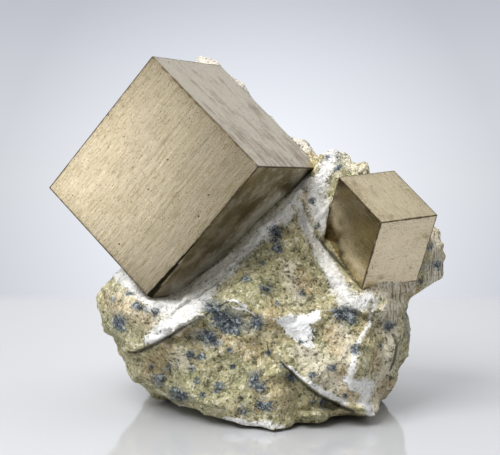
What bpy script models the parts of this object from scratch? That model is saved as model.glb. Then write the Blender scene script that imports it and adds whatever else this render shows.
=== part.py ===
"""Two cubes of pyrite grown in a broken lump of marl.

Metres, +Z up, origin on the flat underside of the rock.  +X runs to the right and +Y away from the
side that shows the crystals best.  Sizes below are millimetres and degrees.
"""

import math

import bmesh
import bpy
from mathutils import Euler, Matrix, Vector, noise
from mathutils.bvhtree import BVHTree

MM = 0.001
SOCKET_GAP = 0.3  # clearance between a crystal and the rock around it
EDGE_CHAMFER = 0.15  # the crystals' edges are almost sharp

# Each crystal is a right-angled block, placed by its nearest corner.  Its own axes u, v and w run
# along the three edges that leave that corner.
LARGE_CORNER = (2.0, -36.4, 62.6)
LARGE_TURN = (101.0, 50.0, 161.5)
LARGE_EDGES = (42.0, 38.0, 34.0)
SMALL_CORNER = (30.3, -30.4, 48.8)
SMALL_TURN = (177.9, -26.6, 121.8)
SMALL_EDGES = (19.5, 16.2, 19.3)

# A narrow triangular facet trims the large crystal's lower edge, widest at the low corner.
FACET_START = 21.0  # how far along the edge it begins
FACET_WIDTH = 1.1  # on the front face, at the low corner
FACET_DEPTH = 1.5  # on the lower right face, at the low corner

# The rock is star-shaped about its heart: every point of its surface is seen from there.
HEART = (-1.0, 5.0, 13.0)

# Points of the broken surface, in groups that each follow one ridge, edge or face.
SHOULDER = (  # block at the upper left that stands proud of the face below it
    (-23.5, -29.0, 28.0), (-27.5, -24.5, 31.0), (-31.5, -19.0, 35.0), (-34.0, -17.0, 32.0),
    (-37.0, -14.0, 26.5), (-35.0, -16.0, 22.5), (-29.0, -24.5, 25.0), (-22.0, -30.0, 25.0),
    (-4.0, -30.5, 30.0), (-1.0, -30.5, 28.8), (3.0, -30.5, 26.5),
)
SHOULDER_LEDGE = (  # its lower edge, which overhangs the lower face
    (-32.0, -19.0, 19.5), (-28.5, -22.5, 16.5), (-23.5, -29.5, 19.8), (-18.0, -31.0, 22.6),
    (-14.5, -31.5, 24.8), (-11.0, -31.5, 26.8), (-8.0, -31.5, 28.5),
)
LOWER_FACE = (
    (-28.0, -16.0, 11.5), (-25.5, -11.0, 5.7), (-22.0, -9.0, 2.5), (-21.5, -22.5, 13.0),
    (-14.0, -28.0, 16.0), (-15.0, -26.5, 9.0), (-6.0, -29.5, 20.0), (-6.0, -31.5, 10.5),
    (-6.0, -31.0, 5.0), (1.5, -31.0, 21.5), (3.0, -33.0, 12.0), (4.5, -34.5, 5.0),
    (12.0, -30.5, 5.0),
)
LOWER_RIM = (  # where the lower face turns under, a little above the floor
    (-21.7, -18.0, 5.0), (-17.3, -20.6, 3.2), (-11.9, -26.0, 2.4), (-5.2, -29.2, 1.8),
    (0.0, -32.5, 1.0), (5.8, -34.2, 0.5), (9.3, -33.3, 0.5), (12.2, -29.0, 0.5), (16.0, -30.1, 0.6),
    (20.2, -25.3, 1.0), (24.4, -23.9, 1.6),
)
RIND_EDGE = (  # outer edge of the pale slope that leads up to the large crystal
    (-18.5, -27.5, 27.5), (-15.5, -26.5, 28.5), (-11.5, -24.5, 30.3), (-8.0, -22.5, 32.8),
    (-3.0, -20.5, 37.0), (1.5, -18.5, 42.3), (5.0, -16.8, 45.5), (8.5, -15.0, 49.0),
    (12.5, -13.0, 53.5),
)
MIDDLE_FACE = (
    (6.0, -22.0, 38.5), (12.0, -16.5, 42.5), (3.0, -27.5, 32.5), (12.0, -23.0, 31.5),
    (16.5, -18.5, 34.5), (6.0, -31.0, 21.0), (11.5, -28.5, 24.5), (18.8, -26.0, 27.5),
    (18.8, -29.0, 19.5),
)
SEAM = (  # pale seam that runs down beside the small crystal
    (11.8, -11.0, 50.6), (13.5, -11.5, 45.0), (16.5, -11.5, 39.2), (20.2, -16.0, 34.6),
    (23.8, -21.3, 31.0),
)
PEAK = (  # pointed top between the crystals
    (20.8, -3.0, 63.5), (19.0, -6.0, 62.4), (17.0, -8.0, 61.2), (16.0, -9.8, 60.0),
    (22.6, -2.0, 62.9), (25.1, -1.5, 60.6), (27.5, -2.0, 57.2), (19.5, -11.5, 57.5),
    (16.5, -11.0, 53.7), (18.3, -11.0, 50.2),
)
RIGHT_FACE = (  # face under the small crystal, down to the pointed toe
    (25.9, -26.0, 25.4), (28.6, -28.0, 19.4), (23.8, -31.0, 15.3), (29.5, -27.0, 11.7),
    (27.6, -28.5, 6.3), (28.9, -29.0, 2.4), (34.7, -18.0, 28.0), (35.5, -18.0, 20.8),
    (35.0, -17.5, 14.5), (33.4, -17.0, 7.0),
)
RIGHT_LEDGE = (  # the right face's lower edge, which overhangs the lower face
    (6.0, -33.5, 18.5), (9.3, -34.0, 14.8), (12.4, -33.5, 11.6), (18.0, -31.0, 8.2),
    (24.0, -27.5, 4.8),
)
LEDGE_DEPTH = 3.2  # how far the lower face is set back under both ledges
LEDGE_DROP = 1.2  # height of the overhanging step
RIGHT_SIDE = (
    (37.1, -13.0, 26.5), (37.7, -10.0, 20.3), (39.3, -6.0, 14.4), (37.7, -5.0, 10.4),
    (35.3, -5.0, 5.8), (33.8, -6.0, 2.2),
)
HORN = (  # lump that reaches out behind the small crystal
    (39.8, -9.0, 28.0), (44.4, -5.0, 29.3), (48.6, -2.0, 32.0), (49.2, 0.0, 35.9),
    (48.9, 2.0, 38.1), (47.8, 4.0, 41.1), (46.0, 7.0, 42.5), (46.0, 9.0, 36.0),
    (37.5, -4.0, 24.5), (41.5, 3.0, 28.0), (37.0, 5.0, 22.5), (40.0, 10.0, 30.0),
)
VALLEY = ((18.3, -2.0, 59.3), (17.5, 3.0, 57.0))  # notch between the peak and the slab
BACK = (  # four large faces that meet along a ridge down the middle
    (31.0, 4.0, 51.0), (37.0, 7.0, 45.0), (23.0, 5.0, 56.0), (30.0, 13.0, 42.0),
    (35.0, 12.0, 28.0), (34.0, 10.0, 13.0), (10.0, 13.0, 55.0), (1.0, 19.0, 62.0),
    (-10.0, 22.0, 70.0), (-14.0, 23.0, 52.0), (-1.0, 28.0, 46.0), (14.0, 20.0, 42.0),
    (-22.0, 25.0, 32.0), (-9.0, 33.0, 31.0), (4.0, 33.0, 30.0), (22.0, 24.0, 27.0),
    (-33.0, 18.0, 20.0), (-21.0, 29.0, 19.0), (-2.0, 33.0, 12.0), (15.0, 29.0, 12.0),
    (29.0, 18.0, 8.0), (-36.0, 4.0, 18.0), (-28.0, 15.0, 8.0), (-30.0, 0.0, 9.0),
    (-35.0, -7.0, 17.0), (-34.0, -4.0, 28.0),
)
FOOTPRINT = (  # outline of the flat underside
    (-14.0, -6.0), (-9.5, -13.0), (-4.5, -19.0), (0.0, -24.5), (5.0, -28.0), (11.0, -24.5),
    (18.5, -19.5), (26.0, -15.5), (30.5, -7.5), (31.5, 4.0), (25.0, 15.0), (11.0, 23.5),
    (-6.0, 25.5), (-18.5, 19.5), (-22.0, 7.5),
)
# Points given in the large crystal's own axes: where the rock meets its lower right face, the part
# of the surface that the crystal fills, and the slab that stands behind it.
LARGE_RIM = (
    (42.3, 0.0, 0.6), (42.2, 0.0, 9.5), (41.0, 0.0, 14.0), (36.3, 0.0, 18.7), (32.9, 0.0, 21.0),
    (27.2, 0.0, 23.3), (20.5, 0.0, 24.1), (15.8, 0.0, 25.2), (11.1, 0.0, 27.7), (5.0, 0.0, 29.6),
    (-0.2, 0.0, 29.0),
)
LARGE_SEAT = (
    (40.0, 8.0, 2.5), (36.0, 8.0, 12.0), (28.0, 8.0, 18.0), (18.0, 8.0, 24.0), (8.0, 8.0, 30.0),
    (36.0, 22.0, 18.0), (28.0, 22.0, 25.0), (16.0, 24.0, 30.0),
)
SLAB_CREST = (
    (-0.8, 3.0, 35.8), (-0.2, 7.5, 36.6), (0.6, 11.0, 37.5), (1.0, 17.0, 38.6), (1.3, 24.5, 39.4),
    (1.5, 31.0, 39.7), (1.6, 37.5, 39.0), (1.3, 42.5, 36.3), (1.3, 44.8, 35.0), (4.0, 45.8, 33.6),
    (9.0, 42.5, 35.5), (16.0, 38.5, 37.0), (25.0, 34.0, 37.0), (33.0, 28.0, 36.5), (40.0, 21.0, 35.8),
    (43.8, 15.5, 30.0), (43.8, 13.5, 20.0), (43.8, 12.5, 9.0),
)
SLAB_INSIDE = (  # the slab's top edge where it meets the crystal's back face
    (0.6, 5.0, 33.2), (0.8, 16.0, 33.4), (1.0, 28.0, 33.4), (1.2, 36.5, 33.4), (8.0, 37.0, 33.2),
    (20.0, 33.0, 33.2), (31.0, 27.0, 33.0), (38.0, 20.0, 32.5), (41.2, 14.0, 25.0),
    (41.2, 12.0, 12.0),
)
# Points in the small crystal's own axes: the lower edge that it stands on, and what it fills.
SMALL_SEAT = (
    (0.4, 5.0, 19.7), (0.4, 10.5, 19.8), (0.6, 15.4, 19.9), (6.0, 6.0, 15.0), (7.0, 12.0, 13.0),
    (14.0, 6.0, 14.0), (14.0, 12.0, 9.0), (19.6, 2.0, 2.0), (19.7, -0.3, 9.0), (19.6, 5.0, 3.5),
    (19.7, -0.3, 18.5), (10.0, -0.3, 19.7), (4.0, 17.0, 15.0), (6.0, 17.5, 9.0), (12.0, 17.0, 7.0),
)

# The point cloud becomes an even net of small faces, and the broken relief is added to it.
NET_CENTRE = (2.0, 0.0, 36.0)
NET_RADII = (44.0, 32.0, 42.0)
NET_DIVISIONS = 6
UNDERSIDE_DROP = 4.0  # the net reaches below the floor, and is then cut flat there
UNDERSIDE_TAPER = 0.9  # size of its outline down there, as a share of the footprint
GROUND_SIDE = 200.0
GROUND_DEPTH = 50.0
ROCK_TRIANGLES = 8000
CHIP_SIZE = 9.0  # across one chip of the broken surface
CHIP_TILT = 0.3  # slope of a chip, as rise over run
CHIP_HOLLOW = 0.045  # how fast a chip's hollow deepens, per millimetre
CHIP_LEVEL = 0.35  # share of a chip's size, from its middle, at which it is level with the surface
CHIP_SEED = 7.3
LUMP_SIZE = 4.0
LUMP_HEIGHT = 0.4
LUMP_LAYERS = (1.0, 2.0, 2)  # how fast finer layers fade, how much finer each is, and their number
GRAIN_SIZE = 1.8
GRAIN_HEIGHT = 0.1
CALM_RANGE = 4.0  # relief fades over this distance from a crystal's faces
CALM_LEAST = 0.15  # share of the relief that is left beside a crystal

CHAMFERED_ANGLE = 20.0  # only edges sharper than this are chamfered
SAME_POINT = 1e-5

PYRITE_FRONT = (0.48, 0.41, 0.27, 1.0)
PYRITE_ROUGHNESS = 0.35
MARL_OLIVE = (0.36, 0.34, 0.20, 1.0)
MARL_ROUGHNESS = 0.85


def clear_scene():
    for item in list(bpy.data.objects):
        bpy.data.objects.remove(item)


def placement(corner, turn):
    """Matrix from a crystal's own axes, in millimetres, to the part's."""
    angles = Euler([math.radians(angle) for angle in turn], "XYZ")
    return Matrix.LocRotScale(Vector(corner), angles, None)


def material(name, colour, roughness, metallic):
    made = bpy.data.materials.new(name)
    made.use_nodes = True
    shader = made.node_tree.nodes["Principled BSDF"]
    shader.inputs["Base Color"].default_value = colour
    shader.inputs["Roughness"].default_value = roughness
    shader.inputs["Metallic"].default_value = metallic
    return made


def block(edges, grow=0.0):
    """A right-angled block from the corner at the origin, each side moved out by grow."""
    shape = bmesh.new()
    bmesh.ops.create_cube(shape, size=1.0)
    for vert in shape.verts:
        for axis in range(3):
            vert.co[axis] = edges[axis] + grow if vert.co[axis] > 0 else -grow
    return shape


def add_object(name, shape, place=None):
    """Turns a shape in millimetres into an object in metres."""
    if place is not None:
        bmesh.ops.transform(shape, matrix=place, verts=shape.verts)
    bmesh.ops.scale(shape, vec=(MM, MM, MM), verts=shape.verts)
    bmesh.ops.recalc_face_normals(shape, faces=shape.faces)
    mesh = bpy.data.meshes.new(name)
    shape.to_mesh(mesh)
    shape.free()
    made = bpy.data.objects.new(name, mesh)
    bpy.context.collection.objects.link(made)
    return made


def hide_cutter(cutter):
    cutter.hide_render = True
    cutter.display_type = "WIRE"


def trim_facet(shape):
    """Cuts the narrow facet off the large crystal's lower edge."""
    length = LARGE_EDGES[0]
    start = Vector((FACET_START, 0.0, 0.0))
    on_front = Vector((length, FACET_WIDTH, 0.0))
    on_lower = Vector((length, 0.0, FACET_DEPTH))
    outward = (on_lower - start).cross(on_front - start).normalized()
    if outward.dot(Vector((0.0, -1.0, -1.0))) < 0:
        outward.negate()
    parts = shape.verts[:] + shape.edges[:] + shape.faces[:]
    cut = bmesh.ops.bisect_plane(
        shape, geom=parts, plane_co=start, plane_no=outward, clear_outer=True, dist=SAME_POINT
    )
    rim = [item for item in cut["geom_cut"] if isinstance(item, bmesh.types.BMEdge)]
    bmesh.ops.contextual_create(shape, geom=rim)


def make_crystal(name, edges, place, finish, facet=False):
    shape = block(edges)
    if facet:
        trim_facet(shape)
    crystal = add_object(name, shape, place)
    bevel = crystal.modifiers.new("edges", "BEVEL")
    bevel.width = EDGE_CHAMFER * MM
    bevel.segments = 1
    bevel.limit_method = "ANGLE"
    bevel.angle_limit = math.radians(CHAMFERED_ANGLE)
    crystal.data.materials.append(finish)
    return crystal


def ledge_foot(edge):
    """The foot of the step under a ledge, set back towards the rock's heart."""
    inward = Vector(HEART) - edge
    inward.z = 0.0
    return edge + inward.normalized() * LEDGE_DEPTH - Vector((0.0, 0.0, LEDGE_DROP))


def rock_points(large, small):
    """Every named point of the rock's surface, in the part's axes."""
    groups = (
        SHOULDER, SHOULDER_LEDGE, LOWER_FACE, LOWER_RIM, RIND_EDGE, MIDDLE_FACE, SEAM, PEAK,
        RIGHT_FACE, RIGHT_LEDGE, RIGHT_SIDE, HORN, VALLEY, BACK,
    )
    points = [Vector(point) for group in groups for point in group]
    points += [ledge_foot(Vector(point)) for point in SHOULDER_LEDGE[1:] + RIGHT_LEDGE]
    for group in (LARGE_RIM, LARGE_SEAT, SLAB_CREST, SLAB_INSIDE):
        points += [large @ Vector(point) for point in group]
    points += [small @ Vector(point) for point in SMALL_SEAT]
    points += [Vector((x, y, 0.0)) for x, y in FOOTPRINT]
    for x, y in FOOTPRINT:
        points.append(Vector((UNDERSIDE_TAPER * x, UNDERSIDE_TAPER * y, -UNDERSIDE_DROP)))
    points.append(Vector((0.0, 0.0, -UNDERSIDE_DROP)))
    return points


def rock_hull(points):
    """Joins the points into one closed skin, in the order in which they are seen from the heart."""
    heart = Vector(HEART)
    skin = bmesh.new()
    for point in points:
        skin.verts.new((point - heart).normalized())
    bmesh.ops.convex_hull(skin, input=skin.verts[:])
    skin.verts.ensure_lookup_table()
    for vert, point in zip(skin.verts[:], points):
        vert.co = point
    return skin


def distance_to_block(point, place, edges):
    """Distance in millimetres from a point to a block, and 0 inside it."""
    local = place.inverted() @ point
    outside = [max(-local[i], local[i] - edges[i], 0.0) for i in range(3)]
    return math.sqrt(sum(value * value for value in outside))


def chip_relief(point):
    """Depth of the shallow flake scars: tilted hollows that meet in sharp ridges."""
    hollows = []
    for near in noise.voronoi(point / CHIP_SIZE)[1]:
        offset = point - near * CHIP_SIZE
        tilt = noise.cell_vector(near * CHIP_SEED) - Vector((0.5, 0.5, 0.5))
        hollows.append(CHIP_TILT * tilt.dot(offset) + CHIP_HOLLOW * offset.length_squared)
    return min(hollows) - CHIP_HOLLOW * (CHIP_LEVEL * CHIP_SIZE) ** 2


def rock_relief(point):
    lumps = LUMP_HEIGHT * noise.fractal(point / LUMP_SIZE, *LUMP_LAYERS)
    grains = GRAIN_HEIGHT * noise.noise(point / GRAIN_SIZE)
    return chip_relief(point) + lumps + grains


def make_rock(large, small, finish):
    skin = rock_hull(rock_points(large, small))
    tree = BVHTree.FromBMesh(skin)
    skin.free()
    heart = Vector(HEART)
    net = bmesh.new()
    bmesh.ops.create_icosphere(net, subdivisions=NET_DIVISIONS, radius=1.0)
    for vert in net.verts:
        around = Vector([NET_CENTRE[i] + NET_RADII[i] * vert.co[i] for i in range(3)])
        ray = (around - heart).normalized()
        surface = tree.ray_cast(heart, ray)[0]
        gap = min(
            distance_to_block(surface, large, LARGE_EDGES),
            distance_to_block(surface, small, SMALL_EDGES),
        )
        calm = max(CALM_LEAST, min(gap / CALM_RANGE, 1.0))
        vert.co = surface + ray * calm * rock_relief(surface)
    rock = add_object("marl_matrix", net)
    rock.data.materials.append(finish)
    thin = rock.modifiers.new("fewer faces", "DECIMATE")
    thin.ratio = ROCK_TRIANGLES / len(rock.data.polygons)
    for name, edges, place in (
        ("large_socket", LARGE_EDGES, large),
        ("small_socket", SMALL_EDGES, small),
    ):
        cutter = add_object(name, block(edges, SOCKET_GAP), place)
        cut_with(rock, cutter)
    ground = block((GROUND_SIDE, GROUND_SIDE, GROUND_DEPTH))
    under = Matrix.Translation((-GROUND_SIDE / 2, -GROUND_SIDE / 2, -GROUND_DEPTH))
    cut_with(rock, add_object("ground_cut", ground, under))
    return rock


def cut_with(target, cutter):
    hide_cutter(cutter)
    cut = target.modifiers.new(cutter.name, "BOOLEAN")
    cut.operation = "DIFFERENCE"
    cut.solver = "EXACT"
    cut.object = cutter


def main():
    clear_scene()
    large = placement(LARGE_CORNER, LARGE_TURN)
    small = placement(SMALL_CORNER, SMALL_TURN)
    pyrite = material("pyrite", PYRITE_FRONT, PYRITE_ROUGHNESS, metallic=1.0)
    marl = material("marl", MARL_OLIVE, MARL_ROUGHNESS, metallic=0.0)
    make_crystal("large_pyrite_cube", LARGE_EDGES, large, pyrite, facet=True)
    make_crystal("small_pyrite_cube", SMALL_EDGES, small, pyrite)
    make_rock(large, small, marl)


main()
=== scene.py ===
import itertools
import math

import bpy
import numpy as np
from mathutils import Euler, Matrix, Vector


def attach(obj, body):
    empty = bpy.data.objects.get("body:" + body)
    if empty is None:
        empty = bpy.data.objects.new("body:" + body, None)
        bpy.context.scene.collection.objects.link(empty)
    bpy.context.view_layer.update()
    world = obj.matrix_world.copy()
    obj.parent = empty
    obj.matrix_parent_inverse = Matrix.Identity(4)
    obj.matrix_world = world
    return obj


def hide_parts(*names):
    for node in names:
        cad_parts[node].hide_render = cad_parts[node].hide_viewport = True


# Two pyrite cubes in a lump of marl: fine surfaces for the rock and for both crystals.
# Shapes are worked out in millimetres as numpy arrays and become metres with the mesh.

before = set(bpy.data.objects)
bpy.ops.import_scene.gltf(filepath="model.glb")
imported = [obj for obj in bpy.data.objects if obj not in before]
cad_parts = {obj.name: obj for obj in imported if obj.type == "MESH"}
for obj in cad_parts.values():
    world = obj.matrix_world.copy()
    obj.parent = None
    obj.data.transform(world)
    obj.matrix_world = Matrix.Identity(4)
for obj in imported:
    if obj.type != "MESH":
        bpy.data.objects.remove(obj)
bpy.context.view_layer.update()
mm = 0.001

camera = {
    "place": (0.0, -441.0, 112.7),
    "tilt": 81.0,  # degrees from straight down
    "lens": 129.6,
    "sensor": 36.0,
    "picture": (500, 455),  # columns and rows in which the marks on the rock are given
}


def placeCamera():
    data = bpy.data.cameras.new("camera")
    data.lens = camera["lens"]
    data.sensor_width = camera["sensor"]
    made = bpy.data.objects.new("camera", data)
    made.location = [value * mm for value in camera["place"]]
    made.rotation_euler = (math.radians(camera["tilt"]), 0.0, 0.0)
    bpy.context.collection.objects.link(made)
    bpy.context.scene.camera = made
    print("camera")


def seenAt(points):
    # column and row at which the camera sees each point: its place across and up, over its depth
    turn = np.array(Euler((math.radians(camera["tilt"]), 0.0, 0.0)).to_matrix())
    local = (points - np.array(camera["place"])) @ turn
    columns, rows = camera["picture"]
    focal = camera["lens"] / camera["sensor"] * columns
    flat = focal * local[:, :2] / -local[:, 2:]
    return np.array((columns / 2, rows / 2)) + flat * np.array((1, -1))


def sightLines(points):
    # direction of length 1 from each point to the camera
    away = np.array(camera["place"]) - points
    return away / np.linalg.norm(away, axis=1)[:, None]


mixer = {
    "axes": (73856093, 19349663, 83492791),  # large factors for a cell's coordinates and for the seed
    "seed": 1013904223,
    "rounds": ((15, 0x2C1B3C6D), (12, 0x297A2D39), (15, 0x1B873593)),  # each round's shift and factor
    "word": 0xFFFFFFFF,  # the bits that each round works on
    "skip": 7,  # lowest bits, which are mixed least
    "most": 0xFFFFFF,  # largest whole number before the result is scaled to 1
}


def latticeValue(cell, seed):
    # one number from 0 to 1 for each lattice cell, mixed from its three whole coordinates
    mixed = cell @ np.array(mixer["axes"]) + seed * mixer["seed"]
    for shift, factor in mixer["rounds"]:
        word = mixed & mixer["word"]
        mixed = (word ^ (word >> shift)) * factor
    return ((mixed >> mixer["skip"]) & mixer["most"]) / mixer["most"]


def latticeVector(cell, seed):
    # three such numbers for each cell
    return np.stack([latticeValue(cell, seed + axis) for axis in range(3)], axis=1)


def softNoise(points, size, seed):
    # values from -1 to 1 that change over size: lattice values blended by 3t^2 - 2t^3 along each axis
    cell = np.floor(points / size).astype(np.int64)
    part = points / size - cell
    blend = part * part * (3.0 - 2.0 * part)
    total = np.zeros(len(points))
    for corner in itertools.product((0, 1), repeat=3):
        share = np.prod(np.where(np.array(corner) == 1, blend, 1.0 - blend), axis=1)
        total += share * latticeValue(cell + np.array(corner), seed)
    return 2.0 * total - 1.0


def layeredNoise(points, size, seed, layers, keep=0.5):
    # soft noise summed over layers, each half the size and keep times the height of the one before
    total = np.zeros(len(points))
    for layer in range(layers):
        total += keep**layer * softNoise(points, size / 2**layer, seed + layer)
    return total


def smoothStep(low, high, value):
    # 0 at low and before, 1 at high and after, 3t^2 - 2t^3 between them
    part = np.clip((value - low) / (high - low), 0.0, 1.0)
    return part * part * (3.0 - 2.0 * part)


def boxGrid(counts):
    # whole coordinates (i, j, k) of the lattice points on a box's surface, its quads, and each quad's side
    points, quads, sides = [], [], []
    start = 0
    for axis, top in itertools.product(range(3), (0, 1)):
        across, up = (axis + 1) % 3, (axis + 2) % 3
        first, second = np.meshgrid(np.arange(counts[across] + 1), np.arange(counts[up] + 1), indexing="ij")
        grid = np.zeros((first.size, 3), dtype=np.int64)
        grid[:, axis] = counts[axis] * top
        grid[:, across] = first.ravel()
        grid[:, up] = second.ravel()
        place = np.arange(first.size).reshape(first.shape) + start
        ring = [place[:-1, :-1], place[1:, :-1], place[1:, 1:], place[:-1, 1:]]
        if not top:
            ring.reverse()
        face = np.stack([corner.ravel() for corner in ring], axis=1)
        points.append(grid)
        quads.append(face)
        sides.append(np.full(len(face), 2 * axis + top))
        start += first.size
    points, quads = np.concatenate(points), np.concatenate(quads)
    # points that two sides share become one
    apart = max(counts) + 1
    key = points @ np.array((1, apart, apart * apart))
    first, same = np.unique(key, return_index=True, return_inverse=True)[1:]
    return points[first], same.ravel()[quads], np.concatenate(sides)


def makeMesh(name, points, quads):
    mesh = bpy.data.meshes.new(name)
    mesh.vertices.add(len(points))
    mesh.vertices.foreach_set("co", (points * mm).astype(np.float32).ravel())
    mesh.loops.add(quads.size)
    mesh.loops.foreach_set("vertex_index", quads.astype(np.int32).ravel())
    mesh.polygons.add(len(quads))
    mesh.polygons.foreach_set("loop_start", np.arange(0, quads.size, 4, dtype=np.int32))
    mesh.polygons.foreach_set("use_smooth", np.ones(len(quads), dtype=bool))
    mesh.update(calc_edges=True)
    mesh.validate()
    made = bpy.data.objects.new(name, mesh)
    bpy.context.collection.objects.link(made)
    return made


def readVectors(source, field, count):
    values = np.zeros(count * 3, dtype=np.float32)
    source.foreach_get(field, values)
    return values.reshape(-1, 3).astype(float)


def setAttribute(mesh, name, values):
    mesh.attributes.new(name, "FLOAT", "POINT").data.foreach_set("value", values.astype(np.float32))


def neighbourMean(values, quads, count):
    # mean of the values next to each point along the grid's lines
    here = np.concatenate([quads[:, side] for side in range(4)])
    there = np.concatenate([quads[:, (side + 1) % 4] for side in range(4)])
    total = np.bincount(here, values[there], count) + np.bincount(there, values[here], count)
    return total / (np.bincount(here, minlength=count) + np.bincount(there, minlength=count))


def ringsInside(chosen, quads, rings):
    # how many rings of points, up to that number, lie between each chosen point and the rest
    inside = chosen.astype(float)
    depth = np.zeros(len(chosen))
    for turn in range(rings):
        depth += inside
        inside = np.isclose(neighbourMean(inside, quads, len(chosen)), 1.0) * chosen.astype(float)
    return depth


shortest = 1e-9  # stands in for the squared length of a stretch whose ends are one point


def stretches(seen, line):
    # for each stretch of a broken line: the distance to it, the side (1 below a line from left to
    # right) and the line's third value beside each place
    for start, end in zip(line[:-1], line[1:]):
        first = np.array(start[:2], float)
        step = np.array(end[:2], float) - first
        part = np.clip(((seen - first) @ step) / max(step @ step, shortest), 0.0, 1.0)
        offset = seen - first - part[:, None] * step
        side = np.sign(step[0] * offset[:, 1] - step[1] * offset[:, 0])
        yield np.linalg.norm(offset, axis=1), side, start[2] + part * (end[2] - start[2])


def nearLine(seen, line):
    # 1 on a broken line, 0.5 at its half width and 0 at double that, whatever its local width
    best = np.zeros(len(seen))
    for away, side, width in stretches(seen, line):
        best = np.maximum(best, 1.0 - away / (2 * width))
    return best


def besideLine(seen, line):
    # distance to a broken line, with the side and the value of its nearest stretch
    best = np.full(len(seen), np.inf)
    side, height = np.zeros(len(seen)), np.zeros(len(seen))
    for away, sideHere, heightHere in stretches(seen, line):
        nearer = away < best
        side = np.where(nearer, sideHere, side)
        height = np.where(nearer, heightHere, height)
        best = np.where(nearer, away, best)
    return best, side, height


def linear(colour):
    # an sRGB hex colour as linear red, green, blue and alpha, by the two parts of the standard's curve
    parts = [int(colour[start:start + 2], 16) / 255 for start in (1, 3, 5)]
    return [part / 12.92 if part <= 0.04045 else ((part + 0.055) / 1.055) ** 2.4 for part in parts] + [1.0]


def addNode(tree, kind, inputs=None, stops=None, **settings):
    # one node with its properties, its inputs as links, hex colours or values, and a ramp's stops
    node = tree.nodes.new(kind)
    for name, value in settings.items():
        setattr(node, name, value)
    for name, value in (inputs or {}).items():
        if isinstance(value, bpy.types.NodeSocket):
            tree.links.new(value, node.inputs[name])
        else:
            node.inputs[name].default_value = linear(value) if isinstance(value, str) else value
    if stops:
        elements = node.color_ramp.elements
        while len(elements) < len(stops):
            elements.new(0.5)
        for element, (place, colour) in zip(elements, stops):
            element.position = place
            element.color = linear(colour)
    return node.outputs


def weightedSum(tree, *parts):
    # the sum of each value times its weight
    total = 0.0
    for value, weight in parts:
        inputs = {0: value, 1: weight, 2: total}
        total = addNode(tree, "ShaderNodeMath", inputs, operation="MULTIPLY_ADD")[0]
    return total


def paintOver(tree, colour, *layers):
    # each layer covers what is below it by its share, where its value goes from one limit to the other
    for value, low, high, share, paint in layers:
        part = addNode(
            tree, "ShaderNodeMapRange", {"Value": value, "From Min": low, "From Max": high, "To Max": share}
        )[0]
        colour = addNode(tree, "ShaderNodeMix", {0: part, 6: colour, 7: paint}, data_type="RGBA")[2]
    return colour


dotEdge = (1.25, 0.7)  # where a dot's soft edge starts and is full, in radii


def scatterDots(tree, place, size, radius, share):
    # 1 inside round dots of that radius, one dot in the given share of cells of that size
    cells = addNode(tree, "ShaderNodeTexVoronoi", {"Vector": place, "Scale": 1 / (size * mm)})
    pick = addNode(tree, "ShaderNodeSeparateColor", {"Color": cells["Color"]})[0]
    chosen = addNode(tree, "ShaderNodeMath", {0: pick, 1: share}, operation="LESS_THAN")[0]
    start, full = [radii * radius / size for radii in dotEdge]
    disc = addNode(
        tree, "ShaderNodeMapRange", {"Value": cells["Distance"], "From Min": start, "From Max": full}
    )[0]
    return addNode(tree, "ShaderNodeMath", {0: disc, 1: chosen}, operation="MULTIPLY")[0]


def newMaterial(name):
    made = bpy.data.materials.new(name)
    made.use_nodes = True
    made.node_tree.nodes.clear()
    return made, made.node_tree


largeCrystal = {
    "name": "large_pyrite_crystal",
    "node": "large_pyrite_cube",
    "corner": (2.0, -36.4, 62.6),  # nearest corner, from which the edges u, v and w run
    "turn": (101.0, 50.0, 161.5),
    "edges": (42.0, 38.0, 34.0),
    "counts": (100, 190, 70),
    "facet": (21.0, 1.1, 1.5),  # where the low edge's facet begins, and its widths at the far end
    # growth lines, brown smears, roughness, painted grey reflection, olive patina and painted shade of
    # the sides: u near and far, v near, which is the low side, and far, w near and far
    "lines": (0.2, 0.5, 0.1, 0.4, 1.0, 0.5),
    "smears": (0.65, 0.5, 0.5, 0.5, 0.1, 0.4),
    "rough": (0.33, 0.3, 0.3, 0.3, 0.31, 0.3),
    # painted reflection: pale grey on the sides that mirror the pale backdrop at a grazing angle, most on u
    # near
    "paintedGreyReflection": (0.75, 0.3, 0.0, 0.0, 0.0, 0.3),
    "patina": (0.0, 0.2, 1.0, 0.3, 0.0, 0.2),
    # painted shade: darker colour on the sides whose reflections of the lamps and floor come out too bright
    "paintedShade": (0.0, 0.2, 0.0, 0.2, 0.1, 0.2),
    # painted shade on the low side, darker towards these ends, lighter where the value is negative
    "paintedShadeEnds": (0.85, 0.0),  # further shade of the low side, at the near end of u and the far end of w
}
smallCrystal = {
    "name": "small_pyrite_crystal",
    "node": "small_pyrite_cube",
    "corner": (30.3, -30.4, 48.8),
    "turn": (177.9, -26.6, 121.8),
    "edges": (19.5, 16.2, 19.3),
    "counts": (70, 60, 70),
    "facet": None,
    "lines": (0.1, 0.1, 0.1, 0.1, 0.1, 0.1),
    "smears": (0.4, 0.4, 0.3, 0.4, 0.5, 0.4),
    "rough": (0.34, 0.3, 0.24, 0.3, 0.33, 0.3),
    "paintedGreyReflection": (0.0, 0.0, 0.0, 0.0, 0.1, 0.0),
    "patina": (0.4, 0.3, 0.3, 0.3, 0.4, 0.3),
    "paintedShade": (0.0, 0.2, 0.45, 0.2, 0.4, 0.2),
    "paintedShadeEnds": (0.0, -0.3),
}
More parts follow.
